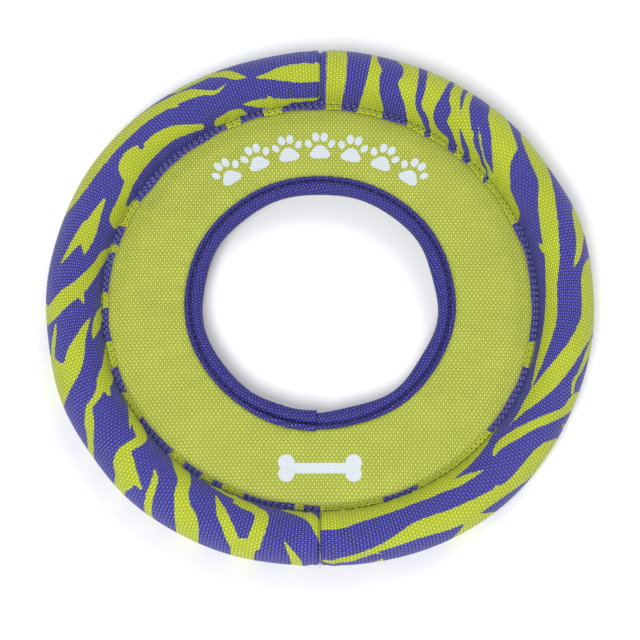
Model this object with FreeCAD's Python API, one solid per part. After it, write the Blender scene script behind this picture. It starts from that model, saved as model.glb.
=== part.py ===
"""Soft flying ring: a foam rod bent into a ring inside a sewn fabric tube, round a padded
fabric web with a bound hand hole.

Millimetres. +Z is up, the origin is the centre of the footprint, and the ring lies on Z = 0.
Ring angles are counter-clockwise from +X seen from above. The two halves of the tube's cover
are joined at 90 and 270 degrees, and the binding laps at 270 degrees.
"""
import FreeCAD
import Part
import math
import os

# ---- driving dimensions -------------------------------------------------------------------
OUTER_RADIUS = 125.0         # of the whole ring
TUBE_RADIUS = 12.7           # outside of the stuffed tube
FLAT_DEPTH = 0.25            # how far the tube's underside is pressed flat by lying down
FABRIC = 0.6                 # one layer of coated oxford cloth
HOLE_RADIUS = 53.3           # inside of the binding
BINDING_RADIUS = 61.5        # outer edge of the binding
HEM_RADIUS = 96.6            # folded edge of the cover on the web
SEAM_HEIGHT = 10.4           # middle of the web where the tube is sewn to it
HUB_HEIGHT = 13.0            # middle of the web at the hand hole
FOAM_HALF_AT_HEM = 0.5       # half thickness of the web's foam sheet, squeezed by the hem
FOAM_HALF_AT_HUB = 1.2       # and squeezed by the binding
FOAM_HALF_FREE = 2.1         # and free between the two
SHOULDER = 9.0               # length over which the free web swells to its full thickness
WEB_CLEARANCE = 0.2          # between the web's outer edge and the foam rod
ALLOWANCE = 7.0              # cloth turned inside at each joint of the cover
CORE_GAP = 0.4               # between the two ends of the foam rod
LAP = 12.0                   # how far one end of the binding lies over the other
FLANGE = 2.3                 # width of the binding outside its stitch line
FLANGE_EDGE_RISE = 0.2       # of the tape above the web at the flange's edge
FLANGE_RISE = 0.8            # and at the middle of the flange
PINCH_RISE = 0.45            # and at the stitch line
ROLL_RISE = 1.15             # and at the top of the roll round the hole
ROLL_END_RISE = 0.3          # and where the roll starts to turn down
ROLL_SETBACK = 0.4           # from the web's inner edge to there
STITCH_PITCH = 3.0
STITCH_LENGTH = 2.3
THREAD = 0.45                # diameter
THREAD_CLEARANCE = 0.05      # between the binding's thread and its tape
OUTER_ROW = 2.3              # hem stitches, from the hem's fold towards the tube
INNER_ROW = 0.9
JOINT_STITCH_START = 1.5     # from the hem to the first stitch over a joint of the cover
BARE_HALF_ANGLE = 0.35       # radians each side of the tube's lowest line with no stitches

# ---- derived ------------------------------------------------------------------------------
TUBE_CENTRE = OUTER_RADIUS - TUBE_RADIUS
TUBE_HEIGHT = TUBE_RADIUS - FLAT_DEPTH
WEB_EDGE = TUBE_CENTRE - TUBE_RADIUS + FABRIC - WEB_CLEARANCE
WEB_INNER = HOLE_RADIUS + 2 * FABRIC
HEM_BASE = FOAM_HALF_AT_HEM + FABRIC                    # from the web's middle to the hem
HEM_TOP = HEM_BASE + 2 * FABRIC                         # the hem is two layers
BINDING_BASE = FOAM_HALF_AT_HUB + FABRIC
PINCH_RADIUS = BINDING_RADIUS - FLANGE                  # stitch line of the binding
AXIS_POINT = FreeCAD.Vector(0, 0, 0)
AXIS = FreeCAD.Vector(0, 0, 1)
FAR_JOINT = 90.0                                        # ring angles, in degrees
NEAR_JOINT = 270.0


def at(radius, height):
    """A point of the ring's cross-section, in the XZ plane."""
    return FreeCAD.Vector(radius, 0, height)


def line(a, b):
    return Part.LineSegment(a, b).toShape()


def arc(a, through, b):
    return Part.Arc(a, through, b).toShape()


def face(edges):
    return Part.Face(Part.Wire(Part.__sortEdges__(edges)))


def ring(section, start=0.0, sweep=360.0):
    """The section swept round the Z axis, from one ring angle over a number of degrees."""
    solid = section.revolve(AXIS_POINT, AXIS, sweep)
    solid.rotate(AXIS_POINT, AXIS, start)
    return solid


def degrees_of(length, radius):
    return math.degrees(length / radius)


# ---- the web's layers ---------------------------------------------------------------------
def web_middle(radius):
    """Height of the web's middle: a shallow cone that rises from the tube to the hole."""
    share = (HEM_RADIUS - radius) / (HEM_RADIUS - HOLE_RADIUS)
    return SEAM_HEIGHT + share * (HUB_HEIGHT - SEAM_HEIGHT)


def smooth(share):
    share = max(0.0, min(1.0, share))
    return share * share * (3 - 2 * share)


def foam_half(radius):
    """Half thickness of the foam sheet, from the binding to the hem."""
    from_hub = smooth((radius - BINDING_RADIUS) / SHOULDER)
    from_hem = smooth((HEM_RADIUS - radius) / SHOULDER)
    free = FOAM_HALF_AT_HUB + (FOAM_HALF_FREE - FOAM_HALF_AT_HUB) * from_hub
    return FOAM_HALF_AT_HEM + (free - FOAM_HALF_AT_HEM) * from_hem


def web_curve(side, extra, spans=12):
    """One surface of the web, side +1 above or -1 below, extra millimetres outside the foam."""
    def point(radius, half):
        return at(radius, web_middle(radius) + side * (half + extra))
    span = (HEM_RADIUS - BINDING_RADIUS) / spans
    radii = [BINDING_RADIUS + k * span for k in range(spans + 1)]
    points = [point(r, foam_half(r)) for r in radii]
    swell = Part.BSplineCurve()
    swell.interpolate(points)
    inner = point(WEB_INNER, FOAM_HALF_AT_HUB)
    outer = point(WEB_EDGE, FOAM_HALF_AT_HEM)
    edges = [line(inner, points[0]), swell.toShape(), line(points[-1], outer)]
    return edges, inner, outer


def web_layer(low, high):
    """A closed ring between two of the web's surfaces."""
    low_edges, low_inner, low_outer = web_curve(*low)
    high_edges, high_inner, high_outer = web_curve(*high)
    ends = [line(low_inner, high_inner), line(low_outer, high_outer)]
    return ring(face(low_edges + high_edges + ends))


def make_web():
    return {
        "web_foam": web_layer((-1, 0.0), (1, 0.0)),
        "web_front": web_layer((1, 0.0), (1, FABRIC)),
        "web_back": web_layer((-1, FABRIC), (-1, 0.0)),
    }


# ---- the stuffed tube ---------------------------------------------------------------------
def on_tube(radius, height):
    """The point of a circle about the tube's centre that faces the web at a height."""
    rise = height - TUBE_HEIGHT
    return at(TUBE_CENTRE - math.sqrt(radius ** 2 - rise ** 2), height)


def tube_wall(radius, high, low):
    """The tube's wall at a radius, from the web side's high point over the top to its low
    point, with the flat that it lies on."""
    flat_height = TUBE_HEIGHT - (radius - FLAT_DEPTH)
    half_flat = math.sqrt(radius ** 2 - (radius - FLAT_DEPTH) ** 2)
    top = at(TUBE_CENTRE, TUBE_HEIGHT + radius)
    outside = at(TUBE_CENTRE + radius, TUBE_HEIGHT)
    flat_out = at(TUBE_CENTRE + half_flat, flat_height)
    flat_in = at(TUBE_CENTRE - half_flat, flat_height)
    slant = radius * math.sqrt(0.5)
    upper = at(TUBE_CENTRE + slant, TUBE_HEIGHT + slant)
    lower = at(TUBE_CENTRE + slant, TUBE_HEIGHT - slant)
    inner_upper = at(TUBE_CENTRE - slant, TUBE_HEIGHT + slant)
    inner_lower = at(TUBE_CENTRE - slant, TUBE_HEIGHT - slant)
    return [
        arc(high, inner_upper, top),
        arc(top, upper, outside),
        arc(outside, lower, flat_out),
        line(flat_out, flat_in),
        arc(flat_in, inner_lower, low),
    ]


def cover_section():
    """The cover's cloth, round the tube, with a hem of two layers above and below the web."""
    hem_high, hem_low = SEAM_HEIGHT + HEM_TOP, SEAM_HEIGHT - HEM_TOP
    base_high, base_low = SEAM_HEIGHT + HEM_BASE, SEAM_HEIGHT - HEM_BASE
    outside = TUBE_RADIUS
    inside = TUBE_RADIUS - FABRIC
    high, low = on_tube(outside, hem_high), on_tube(outside, hem_low)
    inner_high, inner_low = on_tube(inside, base_high), on_tube(inside, base_low)
    edges = tube_wall(outside, high, low) + tube_wall(inside, inner_high, inner_low)
    for meets, start, level, base in (
        (high, inner_high, hem_high, base_high),
        (low, inner_low, hem_low, base_low),
    ):
        edges += [
            line(start, at(HEM_RADIUS, base)),
            line(at(HEM_RADIUS, base), at(HEM_RADIUS, level)),
            line(at(HEM_RADIUS, level), meets),
        ]
    return face(edges)


def band_section(radius, thickness, clear):
    """A C-shaped layer against the inside of a wall, clear of the web's edge."""
    high = on_tube(radius, SEAM_HEIGHT + clear)
    low = on_tube(radius, SEAM_HEIGHT - clear)
    inner_high = on_tube(radius - thickness, SEAM_HEIGHT + clear)
    inner_low = on_tube(radius - thickness, SEAM_HEIGHT - clear)
    edges = tube_wall(radius, high, low)
    edges += tube_wall(radius - thickness, inner_high, inner_low)
    edges += [line(high, inner_high), line(low, inner_low)]
    return face(edges)


def allowance_sweep():
    return degrees_of(ALLOWANCE, TUBE_CENTRE)


def make_covers():
    """Two halves, each with cloth turned inside at both of its ends."""
    covers = {}
    band = band_section(TUBE_RADIUS - FABRIC, FABRIC, HEM_TOP + FABRIC)
    sweep = allowance_sweep()
    for name, start in (("cover_right", NEAR_JOINT - 360.0), ("cover_left", FAR_JOINT)):
        half = ring(cover_section(), start, 180.0)
        first = ring(band, start, sweep)
        last = ring(band, start + 180.0 - sweep, sweep)
        covers[name] = half.fuse([first, last]).removeSplitter()
    return covers


def make_core():
    """One foam rod bent round until its ends meet, pressed in where the cover is doubled."""
    radius = TUBE_RADIUS - FABRIC
    flat_height = TUBE_HEIGHT - (radius - FLAT_DEPTH)
    half_flat = math.sqrt(radius ** 2 - (radius - FLAT_DEPTH) ** 2)
    wall = [
        arc(
            at(TUBE_CENTRE + half_flat, flat_height),
            at(TUBE_CENTRE, TUBE_HEIGHT + radius),
            at(TUBE_CENTRE - half_flat, flat_height),
        ),
        line(at(TUBE_CENTRE - half_flat, flat_height), at(TUBE_CENTRE + half_flat, flat_height)),
    ]
    gap = degrees_of(CORE_GAP, TUBE_CENTRE)
    core = ring(face(wall), NEAR_JOINT + gap / 2, 360.0 - gap)
    band = band_section(radius, FABRIC, HEM_TOP + FABRIC)
    sweep = allowance_sweep()
    grooves = [ring(band, joint - sweep, 2 * sweep) for joint in (FAR_JOINT, NEAR_JOINT)]
    return core.cut(grooves)


# ---- the binding --------------------------------------------------------------------------
def binding_outline(extra):
    """The outside of the folded tape: a flange, a stitched pinch and a roll round the hole."""
    def point(radius, rise, side):
        return at(radius, web_middle(radius) + side * (BINDING_BASE + rise + extra))
    nose = at(HOLE_RADIUS - extra, web_middle(HOLE_RADIUS))
    edges, flange_edges, roll_ends = [], [], []
    for side in (1, -1):
        edge = point(BINDING_RADIUS, FLANGE_EDGE_RISE, side)
        flange = point((BINDING_RADIUS + PINCH_RADIUS) / 2, FLANGE_RISE, side)
        pinch = point(PINCH_RADIUS, PINCH_RISE, side)
        roll = point((PINCH_RADIUS + WEB_INNER) / 2, ROLL_RISE, side)
        roll_end = point(WEB_INNER + ROLL_SETBACK - extra, ROLL_END_RISE, side)
        edges += [arc(edge, flange, pinch), arc(pinch, roll, roll_end)]
        flange_edges.append(edge)
        roll_ends.append(roll_end)
    edges.append(arc(roll_ends[0], nose, roll_ends[1]))
    return edges, flange_edges


def binding_face(extra):
    """The tape's section: its outline less the stack of web layers that it folds round."""
    edges, (high, low) = binding_outline(extra)
    outline = face(edges + [line(high, low)])
    past_edge = BINDING_RADIUS + FLANGE
    corners = [(WEB_INNER, 1), (past_edge, 1), (past_edge, -1), (WEB_INNER, -1)]
    corners = [at(r, web_middle(r) + side * BINDING_BASE) for r, side in corners]
    slot = [line(a, b) for a, b in zip(corners, corners[1:] + corners[:1])]
    return outline.cut(face(slot)).Faces[0]


def make_binding():
    tape = ring(binding_face(0.0), NEAR_JOINT)
    sweep = degrees_of(LAP, HOLE_RADIUS)
    lap = ring(binding_face(FABRIC), NEAR_JOINT - sweep, sweep)
    return tape.fuse(lap).removeSplitter()


# ---- thread -------------------------------------------------------------------------------
def stitch(middle, direction):
    start = middle - direction * (STITCH_LENGTH / 2)
    return Part.makeCylinder(THREAD / 2, STITCH_LENGTH, start, direction)


def stitch_circle(radius, height):
    """Stitches laid round the ring at one radius and height."""
    count = round(2 * math.pi * radius / STITCH_PITCH)
    stitches = []
    for k in range(count):
        turn = 2 * math.pi * (k + 0.5) / count
        middle = FreeCAD.Vector(radius * math.cos(turn), radius * math.sin(turn), height)
        along = FreeCAD.Vector(-math.sin(turn), math.cos(turn), 0)
        stitches.append(stitch(middle, along))
    return Part.makeCompound(stitches)


def stitch_girth(ring_angle):
    """Stitches laid over a joint of the cover, round the outside of the tube, with none under
    the flat that it lies on."""
    reach = TUBE_RADIUS + THREAD / 2
    clear = HEM_TOP + JOINT_STITCH_START
    above = math.pi - math.asin((clear + SEAM_HEIGHT - TUBE_HEIGHT) / TUBE_RADIUS)
    below = math.pi - math.asin((clear + TUBE_HEIGHT - SEAM_HEIGHT) / TUBE_RADIUS)
    count = int((above + below) * reach / STITCH_PITCH)
    turn = math.radians(ring_angle)
    stitches = []
    for k in range(count):
        girth = above - (k + 0.5) * (above + below) / count
        if abs(girth + math.pi / 2) < BARE_HALF_ANGLE:
            continue
        radius = TUBE_CENTRE + reach * math.cos(girth)
        height = TUBE_HEIGHT + reach * math.sin(girth)
        middle = FreeCAD.Vector(radius * math.cos(turn), radius * math.sin(turn), height)
        outward = -math.sin(girth)
        along = FreeCAD.Vector(outward * math.cos(turn), outward * math.sin(turn), math.cos(girth))
        stitches.append(stitch(middle, along))
    return Part.makeCompound(stitches)


def make_threads():
    """The top thread of each row shows on the front and its bobbin thread on the back."""
    threads = {}
    rows = (("outer", HEM_RADIUS + OUTER_ROW), ("inner", HEM_RADIUS + INNER_ROW))
    pinch_top = BINDING_BASE + PINCH_RISE + THREAD_CLEARANCE + THREAD / 2
    for side, face_name in ((1, "front"), (-1, "back")):
        hem_level = SEAM_HEIGHT + side * (HEM_TOP + THREAD / 2)
        for row, radius in rows:
            threads[f"hem_thread_{face_name}_{row}"] = stitch_circle(radius, hem_level)
        pinch_level = web_middle(PINCH_RADIUS) + side * pinch_top
        threads[f"binding_thread_{face_name}"] = stitch_circle(PINCH_RADIUS, pinch_level)
    threads["joint_thread_far"] = stitch_girth(FAR_JOINT)
    threads["joint_thread_near"] = stitch_girth(NEAR_JOINT)
    return threads


def main():
    os.makedirs("parts", exist_ok=True)
    parts = {"foam_core": make_core(), "binding": make_binding()}
    parts.update(make_web())
    parts.update(make_covers())
    parts.update(make_threads())
    for name, shape in parts.items():
        box = shape.BoundBox
        print(f"{name:26s} solids {len(shape.Solids):4d} valid {shape.isValid()} "
              f"volume {shape.Volume:10.1f} z {box.ZMin:6.2f} to {box.ZMax:6.2f} "
              f"x {box.XMin:7.2f} to {box.XMax:7.2f}")
        shape.exportStep(f"parts/{name}.step")


main()
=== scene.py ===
"""Looks of the soft flying ring: a striped stuffed tube round a padded lime web, with a bound
hand hole.

Sizes are millimetres until a mesh is made, and metres for the lights and the camera. Ring
angles are counter-clockwise from +X seen from above. Tube angles are 0 at the ring's outside, 90
on top and 180 at the web. Both are in degrees.
"""
import math
import bmesh
import bpy
import numpy as np
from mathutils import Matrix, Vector
from mathutils.geometry import delaunay_2d_cdt


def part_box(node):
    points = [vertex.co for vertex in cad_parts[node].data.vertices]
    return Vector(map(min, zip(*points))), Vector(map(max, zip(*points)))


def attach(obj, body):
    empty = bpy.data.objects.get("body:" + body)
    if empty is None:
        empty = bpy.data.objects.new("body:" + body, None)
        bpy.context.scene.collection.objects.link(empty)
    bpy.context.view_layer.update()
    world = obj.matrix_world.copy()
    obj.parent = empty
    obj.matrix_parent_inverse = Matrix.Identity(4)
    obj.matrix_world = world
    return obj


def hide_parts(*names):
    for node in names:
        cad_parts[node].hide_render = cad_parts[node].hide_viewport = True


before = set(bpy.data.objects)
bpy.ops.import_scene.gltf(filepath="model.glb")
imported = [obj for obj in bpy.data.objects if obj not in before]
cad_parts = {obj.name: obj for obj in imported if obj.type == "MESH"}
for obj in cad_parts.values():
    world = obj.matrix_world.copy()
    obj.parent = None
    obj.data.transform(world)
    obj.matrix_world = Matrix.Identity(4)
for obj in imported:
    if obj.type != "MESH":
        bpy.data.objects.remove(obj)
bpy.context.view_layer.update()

# ---- sizes --------------------------------------------------------------------------------
MM = 0.001
OUTER_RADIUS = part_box("cover_right")[1].x / MM
TUBE_RADIUS = 12.7
TUBE_CENTRE = OUTER_RADIUS - TUBE_RADIUS
TUBE_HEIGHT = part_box("cover_right")[1].z / MM - TUBE_RADIUS
FLAT_HEIGHT = 0.02           # the tube's underside lies flat on the floor
FABRIC = 0.6
HOLE_RADIUS = 53.3
WEB_INNER, WEB_EDGE = 54.5, 100.0
HEM_RADIUS = 96.6
SEAM_HEIGHT = 10.4           # middle of the web at the hem
HUB_HEIGHT = 13.0            # and at the hole
BINDING_RADIUS = 61.5        # the tape's outer edge on the web
BINDING_SQUEEZE = 0.55       # by which the tape presses each face of the web down
PINCH_RADIUS = 59.2          # of the groove that is sewn into the tape
TAPE_RADIUS = 57.0           # middle of the tape, where its weave has its true pitch
TAPE_LEAN = 25.0             # degrees by which its weave slants
SLOT_RISE = 1.3              # half the height of the slot in the tape that holds the web
SLOT_INNER, SLOT_OUTER = 55.2, 60.9
CORE_GAP = 2.6               # from the tube's outside to the foam rod
FOAM_AT_HEM, FOAM_FREE, FOAM_AT_HUB = 0.5, 2.1, 1.2
FOAM_GAP = 0.05              # between the foam sheet and each face's cloth
SHOULDER = 9.0               # length over which the free web swells
OUTER_ROW, INNER_ROW = 98.9, 97.5
OUTER_COUNT, INNER_COUNT, PINCH_COUNT = 207, 204, 124
HEM_STITCH_RISE, PINCH_STITCH_RISE = 2.42, 1.5      # over the web's middle
JOINT_STITCH_DEPTH = 1.1     # below the tube's outside, in the joint's groove
FLAT_SPAN = 20.0             # tube angle each side of the bottom with no joint thread
RING_STITCH, JOINT_STITCH = (2.1, 0.30), (1.5, 0.4)  # length and thickness
STITCH_TWISTS = 3.0          # turns of the thread in one stitch
STITCH_CROWN, STITCH_DIP = 0.12, 0.6         # height of its middle, and how much lower its ends are
GIRTH_MM = math.radians(TUBE_RADIUS)         # one degree round the tube
RING_MM = math.radians(TUBE_CENTRE)          # one degree round the ring
VALLEY, VALLEY_RADIUS = 179.0, 99.5          # where the tube meets its hem
FAR_JOINT, NEAR_JOINT = 90.0, 270.0
LAP_END, LAP_START = 268.4, 240.0            # ring angles of the binding's doubled stretch
SHORT_PITCH, LONG_PITCH = 0.98, 1.48         # of the oxford weave's yarns
MIRROR_ANGLE = -20.0         # tube angle about which the back repeats the front's print
PRINT_STEP = 2.0             # between points along a printed stroke
WALL_SPAN, LINING_SPAN = (176.0, -157.5), (-163.0, 184.0)    # tube angles, first and last
WALL_STEP, LINING_STEP = -3.3, 6.0           # and from row to row of the mesh
SECTION_STEP = 0.35          # between points of the hem's and the tape's sections
WEB_SPOKES, WEB_ROWS = 540, 52               # ring angles in a mesh, and rows across it
CORE_SPOKES, CORE_ROWS = 180, 40
TAPE_SPOKES = 460
PAW_COUNT, PAW_FIRST, PAW_LAST = 7, 124.0, 56.0      # and the ring angles that they span
PAW_RADIUS, PAW_SIZE, BONE_RADIUS = 76.5, 1.22, 79.5
INK_LEVEL, INK_THICKNESS = 0.09, 0.06        # of the white film, over the cloth
SWELL_STEP, SWELL_ROWS = 2.0, 18             # the grid of the web's cloth simulation
SWELL_SCALE = 10.0           # it runs on a model ten times the size
SWELL_CAP = 0.1              # the most that the wrinkles it gives may move a face
SWELL_FRAMES = 20
FLOOR_SIZE, FLOOR_GAP = 8.0, 0.0005          # metres, as are the next
LIGHT_DISTANCE = 3.4

# ---- colours ------------------------------------------------------------------------------
# Of a pair, the first is for the low parts of the weave or thread, darkened as painted shade, and the
# second for the high, lightened as a painted highlight.
VIOLET, VIOLET_HIGHLIGHT = (0.014, 0.011, 0.150, 1), (0.125, 0.115, 0.740, 1)
LIME, LIME_HIGHLIGHT = (0.450, 0.530, 0.012, 1), (0.640, 0.730, 0.036, 1)
WEB_LIME, WEB_HIGHLIGHT = (0.385, 0.440, 0.036, 1), (0.600, 0.650, 0.160, 1)
LIME_THREAD = (0.10, 0.13, 0.05, 1), (0.26, 0.30, 0.13, 1)
VIOLET_THREAD = (0.03, 0.025, 0.16, 1), (0.08, 0.07, 0.34, 1)
WHITE_INK = (0.62, 0.67, 0.71)
CORE_FOAM, SHEET_FOAM = (0.55, 0.56, 0.58), (0.8, 0.8, 0.76)
BACKDROP = (0.93, 0.93, 0.94, 1)
SKY, SKY_STRENGTH = (0.94, 0.96, 1.0, 1), 0.40

# ---- the printed stripes ------------------------------------------------------------------
# A stroke is a colour and points of (ring angle, tube angle, half width in mm). An area is a
# colour and corners of (ring angle, tube angle). Later ones are printed over earlier ones.
# Tube angles over 179 are on the hem.
RIGHT_PRINT = (
    ("lime", (23, 198), (24, 157), (31, 144), (36, 110), (38, 75), (42, 56), (45, 35), (45, 0),
     (42, -28), (88.5, -28), (88.5, 198)),
    ("lime", (-26, 130, 0), (-18, 134, 2), (-8, 130, 3.5), (2, 128, 3), (9, 118, 3.5),
     (17, 106, 4), (23, 90, 4), (28, 68, 3.5), (33, 50, 5), (37, 20, 8), (37, 0, 8), (35, -28, 8)),
    ("violet", (38, 190, 1), (41, 160, 1), (46, 130, 1.5), (50, 95, 2), (52, 60, 3.5), (53, -28, 5)),
    ("violet", (37, 157, 0), (41, 137, 2), (45, 108, 2.5), (49, 80, 2.5), (51, 50, 3)),
    ("violet", (46, 190, 2), (48, 160, 2), (52, 126, 0)),
    ("violet", (51, 190, 2.5), (53, 160, 2.5), (57, 140, 3.5), (58, 115, 4), (59, 90, 2),
     (60, 30, 1), (60, -28, 1)),
    ("violet", (53, 114, 0), (56, 60, 1), (57, -28, 1)),
    ("violet", (59, 190, 1.5), (61, 155, 2), (64, 130, 1.5), (65, 100, 2), (67, 30, 2),
     (67, -28, 2.5)),
    ("violet", (69, 190, 7), (70, 155, 6), (73, 110, 4.5), (73, 75, 5), (75, 45, 4.5),
     (75, -28, 5.5)),
    ("violet", (82, 190, 4.5), (81, 100, 5), (82, -28, 6)),
    ("lime", (6, 77, 0), (9, 62, 1.5), (12, 50, 2), (16, 35, 4), (18, 15, 6.5), (18, -5, 7.5),
     (16, -28, 7)),
    ("lime", (-38, 128, 0), (-33, 123, 1), (-27, 112, 4), (-22, 95, 4.5), (-16, 75, 4),
     (-11, 58, 4), (-5, 35, 6), (3, 20, 9), (5, 0, 9), (3, -28, 9)),
    ("lime", (-22, 36, 1), (-20, 43, 1), (-17, 35, 1), (-13, 26, 2), (-10, 10, 3), (-11, -8, 4),
     (-13, -28, 3)),
    ("lime", (-46, 106, 0), (-42, 114, 2), (-38, 103, 2.5), (-34, 85, 2), (-30, 60, 2),
     (-27, 38, 2), (-23, 12, 4), (-23, -28, 4)),
    ("lime", (-29, 20, 0.5), (-28, -28, 2)),
    ("lime", (-89, 15, 1), (-85, 20, 2), (-79, 38, 1.5), (-74, 50, 2.5), (-68, 60, 4),
     (-60, 52, 4.5), (-53, 48, 3.5), (-47, 38, 3), (-42, 30, 5), (-37, 15, 7), (-34, -28, 8)),
    ("lime", (-69, 62, 2), (-67, 72, 0)),
    ("lime", (-50, 52, 2), (-49, 64, 0)),
    ("lime", (-80, 40, 1), (-77, 26, 0)),
    ("violet", (-73, 14, 1.5), (-71, 34, 0)),
    ("violet", (40, 60, 0), (41, 44, 1), (41, 30, 0)),
    ("lime", (12, 130, 1.5), (15, 140, 0)),
    ("lime", (47, 140, 0), (48, 126, 1), (49, 112, 0)),
    ("lime", (-57, 15, 5), (-57, -28, 12)),
    ("lime", (-77, 12, 0), (-79, -28, 4)),
    ("lime", (-92, 112, 4), (-86, 108, 3.5), (-80, 114, 2), (-70, 120, 1.5), (-62, 118, 1.5),
     (-55, 111, 2), (-49, 99, 0)),
    ("lime", (-92, 148, 6), (-75, 148, 6), (-62, 148, 6), (-52, 150, 5), (-43, 158, 3), (-36, 170, 0)),
    ("violet", (-44, 132, 1), (-40, 145, 2.5), (-34, 152, 2.5), (-27, 150, 0)),
)
LEFT_PRINT = (
    ("lime", (89, 168, 1), (97, 164, 1.5), (102, 166, 3.5), (107, 152, 2), (111, 144, 0)),
    ("lime", (103, 150, 1), (104, 140, 0)),
    ("lime", (112, 195, 3), (113, 172, 5), (118, 165, 3)),
    ("lime", (89, 103, 4.5), (95, 102, 4.5), (99, 99, 3.5), (103, 98, 1.5), (106, 96, 0)),
    ("lime", (108, 88, 0.5), (110, 78, 2), (112, 60, 2.5), (115, 42, 2), (113, 10, 3),
     (110, -28, 4)),
    ("lime", (117, 35, 4), (122, 25, 6)),
    ("lime", (112, 87, 0), (116, 97, 1), (119, 85, 1.5), (122, 72, 3), (127, 62, 3.5), (134, 50, 4.5),
     (143, 40, 6), (152, 32, 6.5), (158, 20, 5), (160, -28, 5)),
    ("lime", (124, 30, 0), (130, 18, 3), (138, 8, 5), (150, 10, 7), (150, -28, 9)),
    ("lime", (123, 152, 1.5), (127, 138, 2.5), (131, 126, 3.5), (135, 121, 4), (138, 122, 4)),
    ("lime", (138, 118, 3), (142, 110, 5), (145, 112, 4.5), (147, 118, 2.5)),
    ("lime", (136, 133, 1.5), (143, 128, 3), (149, 137, 2.5), (153, 146, 3), (158, 150, 3.5),
     (157, 165, 4), (154, 178, 4)),
    ("violet", (138, 96, 0), (139, 103, 1.2), (138, 108, 0)),
    ("lime", (125, 88, 0), (127, 72, 2)),
    ("lime", (146, 60, 2), (147, 68, 0)),
    ("lime", (154, 64, 0), (154, 50, 1.5)),
    ("lime", (180, 108, 2), (183, 118, 0)),
    ("lime", (155, 107, 0.5), (159, 106, 2), (165, 104, 3.5), (170, 107, 0.5)),
    ("lime", (163, 98, 3), (168, 82, 2), (174, 56, 0)),
    ("lime", (165, 195, 3), (168, 160, 3), (172, 142, 2.5), (176, 122, 3), (179, 102, 3.5),
     (181, 78, 4), (184, 30, 4), (180, -28, 4)),
    ("lime", (182, 195, 4), (185, 160, 3), (189, 140, 2), (192, 128, 0)),
    ("lime", (186, 130, 0), (189, 115, 1.5), (192, 100, 2.5), (195, 86, 4), (198, 70, 4.5), (199, 48, 6),
     (199, 20, 9), (198, 0, 11), (197, -28, 12)),
    ("violet", (194, 66, 0), (194, 50, 1), (194, 38, 0)),
    ("lime", (187, 52, 0.5), (190, 42, 1.5), (193, 28, 2), (197, 15, 4)),
    ("lime", (196, 178, 5), (200, 155, 4.5), (203, 130, 4), (205, 112, 2), (207, 92, 1.5),
     (208, 75, 1.5), (211, 58, 2.5), (213, 45, 2), (215, 22, 2), (216, -28, 2.5)),
    ("lime", (203, 128, 3), (207, 122, 1)),
    ("lime", (210, 190, 4), (214, 145, 1.5), (218, 114, 0)),
    ("lime", (213, 160, 3), (218, 142, 3.5), (221, 125, 2.5), (221, 85, 2.5), (223, 65, 5),
     (225, 48, 5), (225, 25, 3.5), (225, -28, 2.5)),
    ("lime", (226, 60, 3), (230, 52, 0)),
    ("lime", (229, 98, 0.5), (231, 75, 1.5), (234, -28, 2)),
    ("lime", (230, 175, 4), (233, 145, 4), (236, 118, 3), (237, 95, 3), (239, 70, 3.5),
     (241, 48, 5), (242, 20, 5), (242, -28, 5)),
    ("lime", (244, 125, 0), (247, 95, 2), (250, 65, 2.5), (252, 38, 2.5)),
    ("lime", (254, 32, 5), (254, -28, 4.5)),
    ("lime", (256, 45, 3), (256, 115, 3), (249, 127, 1)),
    ("lime", (262, 70, 0), (265, 20, 2), (265, -28, 2)),
    ("lime", (261, 145, 1), (265, 138, 2.5), (268, 125, 3), (270, 95, 3), (271, 60, 2), (271, 15, 1)),
    ("lime", (242, 150, 1), (249, 142, 2), (254, 132, 1.5)),
)

# The lime stretches of the hem, as first and last ring angle. The rest of it is violet.
RIGHT_HEM = ((-92, -73), (-64, -39), (-19, -11))
LEFT_HEM = ((100, 106), (112, 117), (149, 158), (163, 166), (177, 182), (191, 199), (206, 215),
            (227, 232), (237, 241), (243, 250), (263, 266))


# ---- curves and noise ---------------------------------------------------------------------
def smooth(share):
    share = np.clip(share, 0.0, 1.0)
    return share * share * (3 - 2 * share)


def bell(distance, width):
    return np.exp(-(np.asarray(distance) / width) ** 2)


def ripples(seed, ring, across, turns, bends, terms=20):
    """Smooth noise of about unit size over the ring angle and a second angle."""
    draw = np.random.default_rng(seed)
    total = 0.0
    for _ in range(terms):
        along = draw.integers(turns[0], turns[1] + 1) * draw.choice([-1, 1])
        over = draw.uniform(*bends)
        phase = draw.uniform(0, 2 * math.pi)
        total = total + np.cos(np.radians(ring * along + across * over) + phase)
    return total / math.sqrt(terms / 2)


def curve_through(points, step):
    """Points about step apart on a smooth curve through the given ones, which are rows."""
    points = np.asarray(points, float)
    padded = np.vstack([2 * points[:1] - points[1:2], points, 2 * points[-1:] - points[-2:-1]])
    out = []
    for before, a, b, after in zip(padded, padded[1:], padded[2:], padded[3:]):
        count = max(1, math.ceil(np.linalg.norm((b - a)[:2]) / step))
        t = (np.arange(count) / count)[:, None]
        bend = (2 * before - 5 * a + 4 * b - after) * t + (3 * a - before - 3 * b + after) * t * t
        out.append(a + 0.5 * t * ((b - before) + bend))
    out.append(points[-1:])
    return np.vstack(out)


def full_turn(count):
    """Angles in degrees, evenly round a circle."""
    return np.linspace(0.0, 360.0, count, endpoint=False)


def spin(radius, height, ring):
    """Points at a radius, a height and a ring angle."""
    turn = np.radians(ring)
    return np.stack(np.broadcast_arrays(radius * np.cos(turn), radius * np.sin(turn), height), -1)


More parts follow.
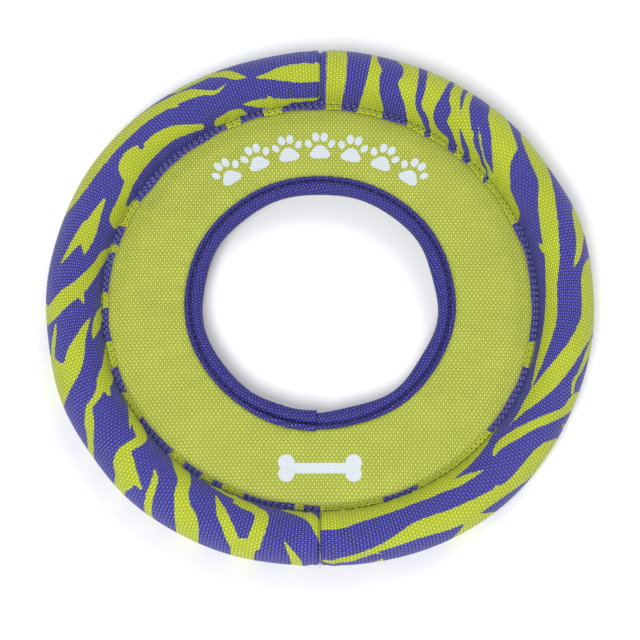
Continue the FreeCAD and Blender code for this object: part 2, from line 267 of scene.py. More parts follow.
# ---- meshes -------------------------------------------------------------------------------
def grid_faces(rows, columns, wrap_rows=False, wrap_columns=False):
    """Four-sided faces between points in rows and columns, which may close on themselves."""
    index = np.arange(rows * columns).reshape(rows, columns)
    if wrap_rows:
        index = np.vstack([index, index[:1]])
    if wrap_columns:
        index = np.hstack([index, index[:, :1]])
    corners = [index[:-1, :-1], index[1:, :-1], index[1:, 1:], index[:-1, 1:]]
    return np.stack(corners, -1).reshape(-1, 4).tolist()


def make_object(name, points, faces, material):
    mesh = bpy.data.meshes.new(name)
    mesh.from_pydata((np.asarray(points).reshape(-1, 3) * MM).tolist(), [], faces)
    work = bmesh.new()
    work.from_mesh(mesh)
    bmesh.ops.recalc_face_normals(work, faces=work.faces)
    work.to_mesh(mesh)
    work.free()
    mesh.polygons.foreach_set("use_smooth", [True] * len(mesh.polygons))
    mesh.materials.append(material)
    piece = bpy.data.objects.new(name, mesh)
    bpy.context.scene.collection.objects.link(piece)
    return piece


def ring_solid(name, radius, height, ring, material, whole=False):
    """A closed section for each ring angle, swept round the ring, with ends unless whole."""
    points = spin(radius, height, ring[:, None])
    rows, columns = points.shape[:2]
    faces = grid_faces(rows, columns, whole, True)
    if not whole:
        faces.append(list(range(columns)))
        faces.append(list(range(rows * columns - columns, rows * columns)))
    return make_object(name, points, faces, material)


def set_field(piece, name, *values):
    """One number, or three, for each vertex, which the materials read. What is given for one
    section is repeated round the ring."""
    values = np.stack([np.ravel(v) for v in np.broadcast_arrays(*values)], -1)
    values = np.tile(values, (len(piece.data.vertices) // len(values), 1))
    kind = "FLOAT" if values.shape[1] == 1 else "FLOAT_VECTOR"
    field = piece.data.attributes.new(name, kind, "POINT")
    field.data.foreach_set("value" if kind == "FLOAT" else "vector", values.astype(np.float32).ravel())


def hand_in(piece, slot, *nodes, fill=None):
    """Set what the piece rides on, and hide the CAD nodes it stands for. The finish it is given is not
    used.
    """
    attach(piece, "root")
    if nodes:
        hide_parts(*nodes)


# ---- materials ----------------------------------------------------------------------------
class Graph:
    """A material's nodes, built by small calls."""

    def __init__(self, name):
        self.material = bpy.data.materials.new(name)
        self.material.use_nodes = True
        self.tree = self.material.node_tree
        self.shader = self.tree.nodes["Principled BSDF"]

    def put(self, socket, value):
        if isinstance(value, bpy.types.NodeSocket):
            self.tree.links.new(value, socket)
        else:
            socket.default_value = value

    def math(self, kind, *values, clamp=False):
        node = self.tree.nodes.new("ShaderNodeMath")
        node.operation = kind
        node.use_clamp = clamp
        for socket, value in zip(node.inputs, values):
            self.put(socket, value)
        return node.outputs[0]

    def mix(self, share, a, b):
        node = self.tree.nodes.new("ShaderNodeMixRGB")
        for socket, value in zip(node.inputs, (share, a, b)):
            self.put(socket, value)
        return node.outputs[0]

    def scale(self, colour, factor):
        """A colour times a number."""
        node = self.tree.nodes.new("ShaderNodeVectorMath")
        node.operation = "SCALE"
        self.put(node.inputs[0], colour)
        self.put(node.inputs["Scale"], factor)
        return node.outputs[0]

    def field(self, name):
        node = self.tree.nodes.new("ShaderNodeAttribute")
        node.attribute_name = name
        return node.outputs

    def parts(self, name):
        node = self.tree.nodes.new("ShaderNodeSeparateXYZ")
        self.put(node.inputs[0], self.field(name)["Vector"])
        return node.outputs

    def noise(self, scale, detail=2.0):
        node = self.tree.nodes.new("ShaderNodeTexNoise")
        node.inputs["Scale"].default_value = scale
        node.inputs["Detail"].default_value = detail
        self.put(node.inputs["Vector"], self.tree.nodes.new("ShaderNodeTexCoord").outputs["Object"])
        return node.outputs["Fac"]

    def ramp(self, value, low, high, out_low=0.0, out_high=1.0):
        node = self.tree.nodes.new("ShaderNodeMapRange")
        for socket, item in zip(node.inputs, (value, low, high, out_low, out_high)):
            self.put(socket, item)
        return node.outputs[0]

    def finish(self, colour, roughness, height=None, depth=0.1, **sockets):
        if height is not None:
            node = self.tree.nodes.new("ShaderNodeBump")
            node.inputs["Distance"].default_value = depth * MM
            self.put(node.inputs["Height"], height)
            self.put(self.shader.inputs["Normal"], node.outputs[0])
        self.put(self.shader.inputs["Base Color"], colour)
        self.put(self.shader.inputs["Roughness"], roughness)
        for name, value in sockets.items():
            self.put(self.shader.inputs[name.replace("_", " ")], value)
        return self.material


def weave(graph, short=SHORT_PITCH, long=LONG_PITCH):
    """A plain weave over the field of millimetres across its two yarns: how high the cloth
    is, and which yarn is on top, both from 0 to 1."""
    across, along, _ = graph.parts("weave")
    first = graph.math("SINE", graph.math("MULTIPLY", across, math.pi / short))
    second = graph.math("SINE", graph.math("MULTIPLY", along, math.pi / long))
    sign = graph.math("MULTIPLY", first, second)
    over = graph.math("MULTIPLY_ADD", sign, 3.0, 0.5, clamp=True)
    a = graph.math("ABSOLUTE", first)
    b = graph.math("ABSOLUTE", second)
    warp = graph.math("MULTIPLY", a, graph.math("MULTIPLY_ADD", b, 0.55, 0.45))
    weft = graph.math("MULTIPLY", b, graph.math("MULTIPLY_ADD", a, 0.42, 0.32))
    blend = graph.math("MULTIPLY", over, graph.math("SUBTRACT", warp, weft))
    return graph.math("ADD", blend, weft), over


def weave_tone(graph, height, over, hollow):
    """Painted shade that darkens the hollows between yarns, a painted highlight that makes one of the
    two yarns lighter, and how the dye varies.
    """
    depth = graph.ramp(height, 0.0, 0.55, hollow, 1.0)
    yarn = graph.math("MULTIPLY_ADD", over, 0.26, 0.86)
    dye = graph.ramp(graph.noise(60.0, 3.0), 0.25, 0.75, 0.94, 1.06)
    return graph.math("MULTIPLY", graph.math("MULTIPLY", depth, yarn), dye)


def needle_holes(graph):
    """From 0 to 1 where the needle has gone through the hem."""
    ring, radius, _ = graph.parts("polar")
    holes = 0.0
    for row, count in ((OUTER_ROW, OUTER_COUNT), (INNER_ROW, INNER_COUNT)):
        turn = graph.math("FRACT", graph.math("MULTIPLY", ring, count / 360.0))
        apart = graph.math("ABSOLUTE", graph.math("SUBTRACT", turn, 0.5))
        x = graph.math("MULTIPLY", graph.math("SUBTRACT", 0.5, apart), math.tau * row / count)
        y = graph.math("SUBTRACT", radius, row)
        squares = graph.math("ADD", graph.math("MULTIPLY", x, x), graph.math("MULTIPLY", y, y))
        away = graph.math("SQRT", squares)
        holes = graph.math("MAXIMUM", holes, graph.ramp(away, 0.1, 0.5, 1.0, 0.0))
    return holes


def printed_cloth():
    """The cover's cloth: lime where the field of the print is over nought, with ragged edges, painted
    highlights on the yarns' tops, and painted shade in the weave's hollows and in the needle holes.
    """
    graph = Graph("printed_cloth")
    height, over = weave(graph)
    edge = graph.math("MULTIPLY_ADD", graph.noise(520.0, 3.0), 1.2, graph.field("print")["Fac"])
    edge = graph.math("MULTIPLY_ADD", height, 0.15, edge)
    lime = graph.ramp(edge, 0.54, 0.80)
    # painted highlight: the yarns' tops take the lighter colour of each pair
    highlight_share = graph.ramp(height, 0.22, 0.95)
    colour = graph.mix(lime, graph.mix(highlight_share, VIOLET, VIOLET_HIGHLIGHT), graph.mix(highlight_share, LIME, LIME_HIGHLIGHT))
    holes = needle_holes(graph)
    # painted shade in the hollows between yarns, deeper on violet than on lime
    hollow = graph.math("MULTIPLY_ADD", lime, 0.40, 0.26)
    tone = weave_tone(graph, height, over, hollow)
    # painted shade in the needle holes
    tone = graph.math("MULTIPLY", tone, graph.math("MULTIPLY_ADD", holes, -0.5, 1.0))
    relief = graph.math("MULTIPLY_ADD", holes, -2.0, height)
    shine = graph.ramp(height, 0.2, 1.0, 0.55, 0.25)
    return graph.finish(graph.scale(colour, tone), shine, relief, 0.5,
                        Specular_IOR_Level=0.5, Sheen_Weight=0.03)


def plain_cloth(name, low, high, short=SHORT_PITCH, long=LONG_PITCH, hollow=0.74):
    """Cloth of one colour, with painted highlights on the yarns' tops, painted shade in their hollows,
    and painted shade in the grooves that the piece's field gives.
    """
    graph = Graph(name)
    height, over = weave(graph, short, long)
    colour = graph.mix(graph.ramp(height, 0.5, 1.0), low, high)
    tone = weave_tone(graph, height, over, hollow)
    # painted shade in the seams' grooves
    groove = graph.math("SUBTRACT", 1.0, graph.field("groove")["Fac"])
    tone = graph.math("MULTIPLY", tone, groove)
    shine = graph.ramp(height, 0.2, 1.0, 0.62, 0.36)
    return graph.finish(graph.scale(colour, tone), shine, height, 0.26,
                        Specular_IOR_Level=0.42, Sheen_Weight=0.03)


def thread_material(name, dark, light):
    """Twisted thread, from a field of turns along and round it, with painted shade between its plies and
    a painted highlight on them.
    """
    graph = Graph(name)
    along, around, _ = graph.parts("twist")
    ply = graph.math("SINE", graph.math("MULTIPLY", graph.math("ADD", along, around), math.tau))
    ply = graph.math("ABSOLUTE", ply)
    colour = graph.mix(graph.ramp(ply, 0.0, 0.8), dark, light)
    return graph.finish(colour, 0.45, ply, 0.05, Sheen_Weight=0.2)


def ink_material():
    graph = Graph("print_ink")
    height, _ = weave(graph)
    # painted shade in the weave's hollows under the ink
    tone = graph.ramp(height, 0.0, 0.5, 0.84, 1.0)
    worn = graph.ramp(graph.noise(900.0, 4.0), 0.3, 0.5, 0.93, 1.0)
    return graph.finish(graph.scale(WHITE_INK, graph.math("MULTIPLY", tone, worn)), 0.6, height, 0.08)


def foam_material(name, colour):
    graph = Graph(name)
    cells = graph.tree.nodes.new("ShaderNodeTexVoronoi")
    cells.inputs["Scale"].default_value = 900.0
    graph.put(cells.inputs["Vector"], graph.tree.nodes.new("ShaderNodeTexCoord").outputs["Object"])
    tone = graph.ramp(cells.outputs["Distance"], 0.0, 0.6, 0.86, 1.0)
    return graph.finish(graph.scale(colour, tone), 0.85, cells.outputs["Distance"], 0.2)


# ---- the print ----------------------------------------------------------------------------
def area_depth(points, outline):
    """How far each point is inside a closed outline, negative outside."""
    best = np.full(len(points), np.inf)
    inside = np.zeros(len(points), bool)
    for a, b in zip(outline, np.roll(outline, -1, axis=0)):
        run = b - a
        share = np.clip(((points - a) @ run) / max(run @ run, 1e-9), 0, 1)
        best = np.minimum(best, np.hypot(*(points - a - share[:, None] * run).T))
        crosses = (a[1] > points[:, 1]) != (b[1] > points[:, 1])
        if run[1]:
            inside ^= crosses & (points[:, 0] < a[0] + (points[:, 1] - a[1]) * run[0] / run[1])
    return np.where(inside, best, -best)


def stroke_depth(points, spine):
    """How far each point is inside a stroke whose half width changes along its spine."""
    best = np.full(len(points), -np.inf)
    for a, b in zip(spine, spine[1:]):
        run = b[:2] - a[:2]
        share = np.clip(((points - a[:2]) @ run) / max(run @ run, 1e-9), 0, 1)
        away = np.hypot(*(points - a[:2] - share[:, None] * run).T)
        best = np.maximum(best, a[2] + share * (b[2] - a[2]) - away)
    return best


def print_depth(ring, tube, shapes, reach=3.0):
    """Millimetres inside the lime parts of the print, negative on violet."""
    flat = np.stack([np.ravel(v) for v in np.broadcast_arrays(ring * RING_MM, tube * GIRTH_MM)], -1)
    field = np.full(len(flat), -reach)
    for colour, *corners in shapes:
        corners = np.array(corners, float)
        corners[:, :2] *= (RING_MM, GIRTH_MM)
        is_stroke = corners.shape[1] == 3
        shape = curve_through(corners, PRINT_STEP) if is_stroke else corners
        extra = reach + (shape[:, 2].max() if is_stroke else 0.0)
        low, high = shape[:, :2].min(0) - extra, shape[:, :2].max(0) + extra
        near = np.all((flat > low) & (flat < high), 1)
        depth = (stroke_depth if is_stroke else area_depth)(flat[near], shape)
        if colour == "lime":
            field[near] = np.maximum(field[near], depth)
        else:
            field[near] = np.minimum(field[near], -depth)
    return np.clip(field, -reach, reach)


# ---- the stuffed tube ---------------------------------------------------------------------
# Radius, and rise over the web's middle: along the hem's underside, round its folded edge, and
# back over its top to the tube.
HEM = ((100.25, 1.1), (98.5, 1.1), (97.2, 1.15), (96.6, 1.45), (96.5, 1.8), (96.8, 2.25),
       (97.5, 2.3), (98.2, 2.4), (98.9, 2.2), (99.3, 2.5))
WALL, HEM_FACE, INSIDE = 0, 1, 2


def cover_section():
    """The section's rows: radius, height, tube angle for the print, and kind of surface. They
    run along the front hem, over the tube's outside, along the back hem, and back inside."""
    hem = curve_through(HEM, SECTION_STEP)
    hem_angle = VALLEY + (VALLEY_RADIUS - hem[:, 0]) / GIRTH_MM
    kinds = np.full(len(hem), HEM_FACE)
    front = np.column_stack([hem[:, 0], SEAM_HEIGHT + hem[:, 1], hem_angle, kinds])
    back = np.column_stack([hem[:, 0], SEAM_HEIGHT - hem[:, 1], 2 * MIRROR_ANGLE - hem_angle, kinds])
    rows = [front]
    walls = (
        (np.arange(*WALL_SPAN, WALL_STEP), TUBE_RADIUS, WALL),
        (np.arange(*LINING_SPAN, LINING_STEP), TUBE_RADIUS - FABRIC, INSIDE),
    )
    for angle, radius, kind in walls:
        out = TUBE_CENTRE + radius * np.cos(np.radians(angle))
        up = TUBE_HEIGHT + radius * np.sin(np.radians(angle))
        rows.append(np.column_stack([out, up, angle, np.full(len(angle), kind)]))
    rows.insert(2, back[::-1])
    return np.vstack(rows)


def tube_relief(ring, tube):
    """How far the stuffed wall stands out from a true round one."""
    joints = (NEAR_JOINT - 360.0, FAR_JOINT, NEAR_JOINT)
    from_joint = RING_MM * np.min([np.abs(ring - joint) for joint in joints], axis=0)
    near_valley = bell(180.0 - np.abs(tube), 30.0)
    lumps = 0.22 * ripples(3, ring, tube, (4, 16), (-1.6, 1.6))
    puckers = 0.16 * ripples(5, ring, tube, (60, 120), (-0.4, 0.4)) * near_valley
    gathers = 0.22 * ripples(8, ring, tube, (60, 130), (-3.0, 3.0)) * bell(from_joint, 9.0)
    groove = -1.3 * bell(from_joint, 0.8) - 0.3 * bell(from_joint, 4.0)
    return lumps + puckers + gathers + groove


def half_ring_angles(start):
    """Ring angles over half the ring, closer together at both joints."""
    close = np.array([0.0, 0.12, 0.25, 0.4, 0.6, 0.85, 1.15, 1.55])
    middle = np.linspace(2.0, 178.0, 300)
    return start + np.concatenate([close, middle, 180.0 - close[::-1]])


def hem_print(bands, first, last):
    """The hem's print between two ring angles: violet, then lime stretches with slanting ends."""
    near, far = 177, 210         # tube angles that take in the whole hem
    areas = [("violet", (first, near), (last, near), (last, far), (first, far))]
    areas += [("lime", (a, near - 1), (b, near - 1), (b - 1, far), (a + 1, far)) for a, b in bands]
    return tuple(areas)


def cover_shape(turn, radius, height, tube, kind):
    """The section's radius and height at each ring angle, no longer perfectly round."""
    hem = kind == HEM_FACE
    wall = ~hem
    relief = tube_relief(turn, tube) * wall
    rise = height - SEAM_HEIGHT
    hem_top = hem * smooth((np.abs(rise) - 1.2) / 0.5)
    hem_edge = hem * smooth((98.5 - radius) / 1.5)
    outer_wall = wall * smooth((radius - TUBE_CENTRE + 11.0) / 15.0)
    rumple = 0.07 * ripples(9, turn, tube, (90, 200), (-4, 4))
    wander = 0.2 * ripples(14, turn, 0.0, (6, 40), (0, 0))
    sway = 0.45 * ripples(12, turn, 0.0, (2, 6), (0, 0), 8)
    radius = radius + relief * np.cos(np.radians(tube)) + wander * hem_edge + sway * outer_wall
    height = height + relief * np.sin(np.radians(tube)) + np.sign(rise) * rumple * hem_top
    return radius, np.maximum(height, FLAT_HEIGHT + FABRIC * (kind == INSIDE))


def cover_print(turn, tube, start, shapes):
    """The print over the whole cover. The back has the front's, mirrored and shifted along."""
    past = smooth((MIRROR_ANGLE - tube) / 60.0)
    facing = np.where(tube < MIRROR_ANGLE, 2 * MIRROR_ANGLE - tube, tube)
    shifted = turn + 5.0 * past * np.sin(np.radians(turn - start))
    return print_depth(shifted, facing, shapes)


def make_cover(name, start, shapes, material):
    radius, height, tube, kind = cover_section().T
    ring = half_ring_angles(start)
    turn = ring[:, None]
    cover = ring_solid(f"{name}_cloth", *cover_shape(turn, radius, height, tube, kind), ring, material)
    set_field(cover, "print", cover_print(turn, tube, start, shapes))
    set_field(cover, "weave", tube * GIRTH_MM, turn * RING_MM, 0.0)
    set_field(cover, "polar", turn, radius, 0.0)
    hand_in(cover, "printed_cloth", name, fill=0.9)


def make_core(material):
    ring = full_turn(CORE_SPOKES)
    tube = np.radians(full_turn(CORE_ROWS))
    radius = TUBE_RADIUS - CORE_GAP
    height = np.maximum(TUBE_HEIGHT + radius * np.sin(tube), 2 * FABRIC)
    rows = np.broadcast_to(TUBE_CENTRE + radius * np.cos(tube), (len(ring), len(tube)))
    core = ring_solid("foam_core_rod", rows, height, ring, material, whole=True)
    hand_in(core, "core_foam", "foam_core")


# ---- the padded web -----------------------------------------------------------------------
def web_middle(radius):
    """Height of the web's middle, which rises from the hem to the hand hole."""
    share = (HEM_RADIUS - radius) / (HEM_RADIUS - HOLE_RADIUS)
    return SEAM_HEIGHT + share * (HUB_HEIGHT - SEAM_HEIGHT)


def foam_half(radius):
    """Half the thickness of the foam sheet, thin where it is sewn."""
    from_hub = smooth((radius - BINDING_RADIUS) / SHOULDER)
    from_hem = smooth((HEM_RADIUS - radius) / SHOULDER)
    free = FOAM_AT_HUB + (FOAM_FREE - FOAM_AT_HUB) * from_hub
    return FOAM_AT_HEM + (free - FOAM_AT_HEM) * from_hem


def simulate_swell(seed):
    """How far a face of the web wrinkles when its padding pushes it out between the two seams:
    millimetres on a grid of ring angles and radii, from a short cloth simulation."""
    ring = np.arange(0.0, 360.0, SWELL_STEP)
    radius = np.linspace(BINDING_RADIUS, HEM_RADIUS, SWELL_ROWS)
    start = 0.15 * ripples(seed, ring[:, None], radius, (5, 40), (-9.0, 9.0))
    points = spin(radius, start, ring[:, None]) * SWELL_SCALE
    faces = grid_faces(len(ring), len(radius), True)
    cloth = make_object("swell", points, faces, bpy.data.materials.new("swell"))
    sewn = cloth.vertex_groups.new(name="sewn")
    rows = np.arange(len(ring))[:, None] * SWELL_ROWS + np.array([0, SWELL_ROWS - 1])
    sewn.add(rows.ravel().tolist(), 1.0, "REPLACE")
    settings = cloth.modifiers.new("cloth", "CLOTH").settings
    settings.vertex_group_mass = "sewn"
    settings.use_pressure = True
    settings.uniform_pressure_force = 4.0
    settings.shrink_min = -0.02
    settings.effector_weights.gravity = 0.0
    for step in range(1, SWELL_FRAMES + 1):
        bpy.context.scene.frame_set(step)
    shape = cloth.evaluated_get(bpy.context.evaluated_depsgraph_get()).to_mesh()
    height = np.empty(len(shape.vertices) * 3)
    shape.vertices.foreach_get("co", height)
    height = height[2::3].reshape(len(ring), -1) / (MM * SWELL_SCALE)
    bpy.data.objects.remove(cloth, do_unlink=True)
    bpy.context.scene.frame_set(1)
    return height - height.mean(0)


def sample_swell(table, radius, ring):
    """The simulated wrinkles at a radius and a ring angle, smoothly between grid points."""
    along = np.mod(ring, 360.0) / SWELL_STEP
    across = (radius - BINDING_RADIUS) / (HEM_RADIUS - BINDING_RADIUS) * (SWELL_ROWS - 1)
    along, across = np.broadcast_arrays(along, np.clip(across, 0.0, SWELL_ROWS - 1.001))
    i, j = along.astype(int) % len(table), across.astype(int)
    u, v = smooth(along - np.floor(along)), smooth(across - j)
    k = (i + 1) % len(table)
    near = table[i, j] * (1 - v) + table[i, j + 1] * v
    far = table[k, j] * (1 - v) + table[k, j + 1] * v
    return near * (1 - u) + far * u


SWELL = {side: simulate_swell(50 + side) for side in (1, -1)}


def web_relief(radius, ring, side):
    """Soft waves of the sheet and small puckers where it is sewn."""
    from_hub, from_hem = radius - BINDING_RADIUS, HEM_RADIUS - radius
    free = smooth((from_hub - 0.5) / 5.0) * smooth((from_hem - 0.6) / 5.0)
    waves = 0.07 * ripples(20 + side, ring, radius, (3, 12), (-9.0, 9.0)) * free
    waves = waves + SWELL_CAP * np.tanh(sample_swell(SWELL[side], radius, ring) / SWELL_CAP)
    hem = bell(from_hem, 7.0) * smooth((from_hem + 0.4) / 2.0)
    hub = bell(from_hub, 5.0) * smooth((from_hub + 0.5) / 1.5)
    puckers = 0.10 * ripples(30 + side, ring, radius, (45, 90), (-3.0, 3.0)) * hem
    puckers = puckers + 0.16 * ripples(33 + side, ring, radius, (35, 75), (-3.0, 3.0)) * hub
    squeeze = BINDING_SQUEEZE * smooth((0.1 - from_hub) / 0.8)
    return np.clip(waves + puckers, -0.45, 0.8) - squeeze


def web_surface(radius, ring, side, extra):
    """Height of the web's front, side 1, or back, side -1, with extra over the foam."""
    relief = web_relief(radius, ring, side)
    return web_middle(radius) + side * (foam_half(radius) + extra + relief)


def make_web(cloth, foam):
    ring = full_turn(WEB_SPOKES)
    radius = np.linspace(WEB_INNER, WEB_EDGE, WEB_ROWS)
    both = np.concatenate([radius, radius[::-1]])
    turn = ring[:, None]
    x = np.cos(np.radians(turn)) * both
    y = np.sin(np.radians(turn)) * both
    # painted shade on the web beside the hem and the binding, where it sinks into the seams
    seam_shade = 0.28 * bell(both - HEM_RADIUS, 1.3) + 0.30 * bell(both - BINDING_RADIUS, 1.1)
    for name, side in (("web_front", 1), ("web_back", -1)):
        outside = web_surface(radius, turn, side, FABRIC)
        inside = web_surface(radius, turn, side, 0.0)[:, ::-1]
        web = ring_solid(f"{name}_cloth", both, np.hstack([outside, inside]), ring, cloth, whole=True)
        set_field(web, "weave", x, y, 0.0)
        set_field(web, "groove", seam_shade)
        hand_in(web, "web_cloth", name, fill=0.4)
    top = web_surface(radius, turn, 1, -FOAM_GAP)
    bottom = web_surface(radius, turn, -1, -FOAM_GAP)[:, ::-1]
    sheet = ring_solid("web_foam_sheet", both, np.hstack([top, bottom]), ring, foam, whole=True)
    hand_in(sheet, "sheet_foam", "web_foam")


# ---- the binding --------------------------------------------------------------------------
# Radius, and rise over the web's middle: from the tape's outer edge over its flange, through the
# sewn groove, and round the rim of the hand hole.
TAPE = ((61.2, 1.6), (61.65, 1.85), (61.5, 2.4), (60.8, 2.85), (60.1, 2.7), (59.6, 2.0),
        (59.2, 1.35), (58.8, 2.0), (58.1, 2.9), (57.0, 3.2), (55.6, 2.95), (54.3, 2.2),
        (53.55, 1.1), (53.3, 0.0))


def make_binding(material):
    half = curve_through(TAPE, SECTION_STEP)
    slot = np.linspace(SLOT_INNER, SLOT_OUTER, 8)
    slot_edge = np.full(len(slot), SLOT_RISE)
    radius = np.concatenate([half[:, 0], half[-2::-1, 0], slot[::-1], slot])
    rise = np.concatenate([half[:, 1], -half[-2::-1, 1], -slot_edge, slot_edge])
    ring = np.linspace(LAP_END - 360.0, LAP_END, TAPE_SPOKES)
    turn = ring[:, None]
    doubled = smooth((turn - LAP_START + 8.0) / 20.0)
    outside = np.abs(rise) > SLOT_RISE + 0.02
    rumple = 0.13 * ripples(40, turn, radius, (50, 110), (-30.0, 30.0))
    wander = 0.35 * ripples(41, turn, 0.0, (2, 9), (0, 0), 8)
    swell = (0.7 * doubled + rumple) * outside * (1 - 0.8 * bell(radius - PINCH_RADIUS, 0.5))
    height = web_middle(radius) + rise + np.sign(rise) * swell
    nose = smooth((55.5 - radius) / 2.0)
    flange = smooth((radius - 60.0) / 1.5)
    radius_all = radius + nose * (wander - 1.3 * doubled) + flange * (0.8 * doubled + 0.4 * wander)
    tape = ring_solid("binding_tape", radius_all, height, ring, material)
    run = np.concatenate([[0.0], np.cumsum(np.hypot(np.diff(radius), np.diff(rise)))])
    arc_length = turn * math.radians(TAPE_RADIUS)
    lean = math.radians(TAPE_LEAN)
    set_field(tape, "weave", run * math.cos(lean) + arc_length * math.sin(lean),
              arc_length * math.cos(lean) - run * math.sin(lean), 0.0)
    # painted shade in the groove sewn into the tape
    set_field(tape, "groove", 0.75 * bell(radius - PINCH_RADIUS, 0.45) * outside)
    hand_in(tape, "binding_cloth", "binding")


# ---- thread -------------------------------------------------------------------------------
def make_stitches(name, slot, material, centres, directions, ups, length, thickness):
    """Short threads that dip into the cloth at both ends, in place of the named CAD node."""
    steps = np.linspace(-0.5, 0.5, 7)
    sides = np.radians(full_turn(6))
    across = np.cross(directions, ups)
    spine = centres[:, None] + directions[:, None] * (steps * length)[None, :, None]
    spine = spine + ups[:, None] * (STITCH_CROWN - STITCH_DIP * (2 * steps) ** 2)[None, :, None]
    around = np.cos(sides)[:, None] * across[:, None, None] + np.sin(sides)[:, None] * ups[:, None, None]
    points = spine[:, :, None] + around * (thickness / 2)
    block = grid_faces(len(steps), len(sides), False, True)
    size = len(steps) * len(sides)
    block += [list(range(len(sides))), list(range(size - len(sides), size))]
    faces = [[k * size + corner for corner in face] for k in range(len(centres)) for face in block]
    threads = make_object(name.replace("thread", "stitches"), points, faces, material)
    along = np.broadcast_to(steps[None, :, None] * STITCH_TWISTS, points.shape[:3])
    turns = np.broadcast_to(sides / math.tau, points.shape[:3])
    set_field(threads, "twist", along, turns, 0.0)
    hand_in(threads, slot, name)


def ring_stitches(name, slot, material, radius, count, level, side):
    ring = (np.arange(count) + 0.5) * 360.0 / count
    centres = spin(radius, level, ring)
    directions = spin(1.0, 0.0, ring + 90.0)
    ups = np.tile([0.0, 0.0, float(side)], (count, 1))
    make_stitches(name, slot, material, centres, directions, ups, *RING_STITCH)


def joint_stitches(name, ring, material, first=160.0, last=-135.0):
    """Thread laid over a joint of the cover, with none under the flat it lies on."""
    tube = np.linspace(first, last, 30)
    tube = np.radians(tube[np.abs(tube + 90.0) > FLAT_SPAN])
    reach = TUBE_RADIUS - JOINT_STITCH_DEPTH
    outward = spin(1.0, 0.0, ring)
    up = np.array([0.0, 0.0, 1.0])
    ups = np.cos(tube)[:, None] * outward + np.sin(tube)[:, None] * up
    along = -np.sin(tube)[:, None] * outward + np.cos(tube)[:, None] * up
    centres = TUBE_CENTRE * outward + TUBE_HEIGHT * up + reach * ups
    make_stitches(name, "lime_thread", material, centres, along, ups, *JOINT_STITCH)


def make_threads(lime, violet):
    hem_rows = (("outer", OUTER_ROW, OUTER_COUNT), ("inner", INNER_ROW, INNER_COUNT))
    for side, face_name in ((1, "front"), (-1, "back")):
        for row, radius, count in hem_rows:
            name = f"hem_thread_{face_name}_{row}"
            level = SEAM_HEIGHT + side * HEM_STITCH_RISE
            ring_stitches(name, "lime_thread", lime, radius, count, level, side)
        level = web_middle(PINCH_RADIUS) + side * PINCH_STITCH_RISE
        name = f"binding_thread_{face_name}"
        ring_stitches(name, "violet_thread", violet, PINCH_RADIUS, PINCH_COUNT, level, side)
    joint_stitches("joint_thread_far", FAR_JOINT, lime)
    joint_stitches("joint_thread_near", NEAR_JOINT, lime)


# ---- the printed marks --------------------------------------------------------------------
def ellipse(x, y, across, up, lean):
    turn = np.radians(full_turn(24))
    a, b = across * np.cos(turn), up * np.sin(turn)
    lean = math.radians(lean)
    return np.stack([x + a * math.cos(lean) - b * math.sin(lean),
                     y + a * math.sin(lean) + b * math.cos(lean)], -1)


def paw_outlines():
    """One broad pad under four toes."""
    turn = np.radians(full_turn(40))
    reach = 3.3 + 0.45 * np.cos(3 * (turn - math.pi / 2))
    pad = np.stack([1.12 * reach * np.cos(turn), -2.6 + 0.86 * reach * np.sin(turn)], -1)
    toes = ((-4.4, 1.2, 1.25, 1.8, 25), (-1.6, 4.0, 1.4, 2.0, 8), (1.6, 4.0, 1.4, 2.0, -8),
            (4.4, 1.2, 1.25, 1.8, -25))
    return [pad] + [ellipse(*toe) for toe in toes]


def bone_outline(reach=15.0, lobe=3.7, apart=2.6, shaft=2.4):
    """A straight shaft with two round lobes at each end."""
    notch = -math.asin(apart / lobe)
    back = math.pi - math.asin((shaft - apart) / lobe)
    turn = np.linspace(back, notch, 16)
    corner = np.stack([reach + lobe * np.cos(turn), apart + lobe * np.sin(turn)], -1)
    right = np.vstack([corner, (corner * (1, -1))[-2::-1]])
    return np.vstack([right, -right])


def filled(outline, step=1.0):
    """Points and triangles that fill an outline, close enough together to lie on the web."""
    ends = np.roll(outline, -1, axis=0)
    counts = np.ceil(np.hypot(*(ends - outline).T) / step).astype(int)
    edge = [a + (b - a) * k / n for a, b, n in zip(outline, ends, counts) for k in range(n)]
    outline = np.array(edge)
    low, high = outline.min(0), outline.max(0)
    x, y = np.meshgrid(np.arange(low[0], high[0], step), np.arange(low[1], high[1], step))
    inner = np.stack([x.ravel(), y.ravel()], -1)
    inner = inner[area_depth(inner, outline) > 0.4 * step]
    points = [Vector(p) for p in np.vstack([outline, inner])]
    edges = [(k, (k + 1) % len(outline)) for k in range(len(outline))]
    found, _, faces, *_ = delaunay_2d_cdt(points, edges, [list(range(len(outline)))], 1, 1e-4)
    return np.array([tuple(p) for p in found]), faces


def make_mark(name, outlines, radius, ring, material, size=1.0):
    """White ink on the web. The mark's top faces the ring's outside on the far half."""
    points, faces = [], []
    for outline in outlines:
        flat, triangles = filled(outline * size)
        faces += [[len(points) + corner for corner in face] for face in triangles]
        points += flat.tolist()
    flat = np.array(points)
    lean = math.radians(ring - 90.0 if ring < 180.0 else ring - 270.0)
    centre = spin(radius, 0.0, ring)
    x = centre[0] + flat[:, 0] * math.cos(lean) - flat[:, 1] * math.sin(lean)
    y = centre[1] + flat[:, 0] * math.sin(lean) + flat[:, 1] * math.cos(lean)
    height = web_surface(np.hypot(x, y), np.degrees(np.arctan2(y, x)), 1, FABRIC + INK_LEVEL)
    mark = make_object(name, np.stack([x, y, height], -1), faces, material)
    for face in mark.data.polygons:
        if face.normal.z < 0:
            face.flip()
        face.use_smooth = False
    film = mark.modifiers.new("film", "SOLIDIFY")
    film.thickness = INK_THICKNESS * MM
    set_field(mark, "weave", x, y, 0.0)
    hand_in(mark, "print_ink")


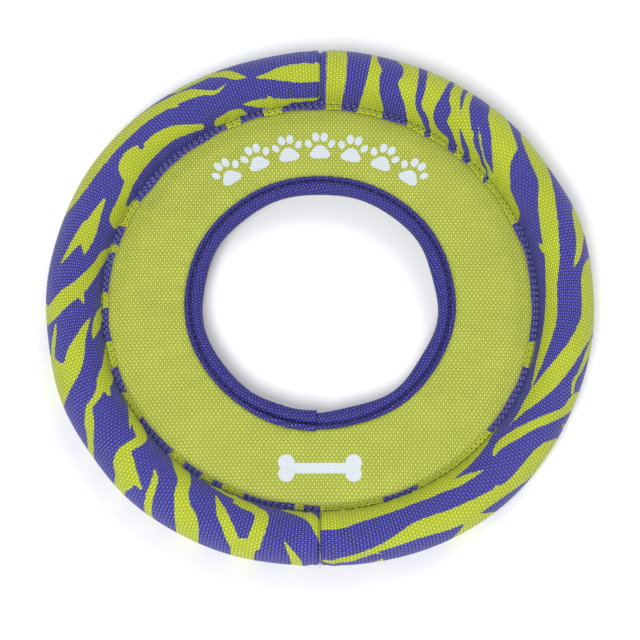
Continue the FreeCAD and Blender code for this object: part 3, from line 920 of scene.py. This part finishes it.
def make_marks(material):
    for number, ring in enumerate(np.linspace(PAW_FIRST, PAW_LAST, PAW_COUNT), 1):
        make_mark(f"paw_mark_{number}", paw_outlines(), PAW_RADIUS, ring, material, PAW_SIZE)
    make_mark("bone_mark", [bone_outline()], BONE_RADIUS, NEAR_JOINT, material)


# ---- the stage ----------------------------------------------------------------------------
def make_stage():
    graph = Graph("backdrop")
    graph.finish(BACKDROP, 0.9)
    bpy.ops.mesh.primitive_plane_add(size=FLOOR_SIZE, location=(0, 0, -FLOOR_GAP))
    floor = bpy.context.object
    floor.name = "floor"
    floor.data.materials.append(graph.material)


def add_light(name, power, size, azimuth, elevation):
    """A square soft light that faces the ring. Azimuth 0 is the camera's side, 90 the left."""
    light = bpy.data.lights.new(name, "AREA")
    light.energy = power
    light.size = size
    lamp = bpy.data.objects.new(name, light)
    a, e = math.radians(azimuth), math.radians(elevation)
    way = Vector((-math.sin(a) * math.cos(e), -math.cos(a) * math.cos(e), math.sin(e)))
    lamp.location = way * LIGHT_DISTANCE
    lamp.rotation_euler = way.to_track_quat("Z", "Y").to_euler()
    bpy.context.scene.collection.objects.link(lamp)


def make_camera(distance=1.278, elevation=69.3, lens=158.0, middle=0.013, drop=0.0083):
    """Look at the ring's middle height from the near side, aimed a little below it."""
    e = math.radians(elevation)
    target = Vector((0, 0, middle))
    camera = bpy.data.cameras.new("camera")
    camera.lens = lens
    camera.dof.use_dof = False
    viewer = bpy.data.objects.new("camera", camera)
    viewer.location = target + distance * Vector((0, -math.cos(e), math.sin(e)))
    aim = target - drop * Vector((0, math.sin(e), math.cos(e)))
    viewer.rotation_euler = (viewer.location - aim).to_track_quat("Z", "Y").to_euler()
    bpy.context.scene.collection.objects.link(viewer)
    bpy.context.scene.camera = viewer


def make_light():
    world = bpy.data.worlds.new("world")
    world.use_nodes = True
    background = world.node_tree.nodes["Background"]
    background.inputs["Color"].default_value = SKY
    background.inputs["Strength"].default_value = SKY_STRENGTH
    bpy.context.scene.world = world
    add_light("key", 98.0, 1.4, 16.0, 55.0)
    add_light("far fill", 38.0, 1.8, 210.0, 50.0)
    bpy.context.scene.view_settings.view_transform = "Standard"
    bpy.context.scene.view_settings.look = "None"


cover_cloth = printed_cloth()
make_cover("cover_right", NEAR_JOINT - 360.0, RIGHT_PRINT + hem_print(RIGHT_HEM, -95, 23), cover_cloth)
make_cover("cover_left", FAR_JOINT, LEFT_PRINT + hem_print(LEFT_HEM, 85, 275), cover_cloth)
make_core(foam_material("core_foam", CORE_FOAM))
make_web(plain_cloth("web_cloth", WEB_LIME, WEB_HIGHLIGHT), foam_material("sheet_foam", SHEET_FOAM))
make_binding(plain_cloth("binding_cloth", VIOLET, VIOLET_HIGHLIGHT, 0.9, 1.3, 0.22))
make_threads(thread_material("lime_thread", *LIME_THREAD),
             thread_material("violet_thread", *VIOLET_THREAD))
make_marks(ink_material())
make_stage()
make_light()
make_camera()
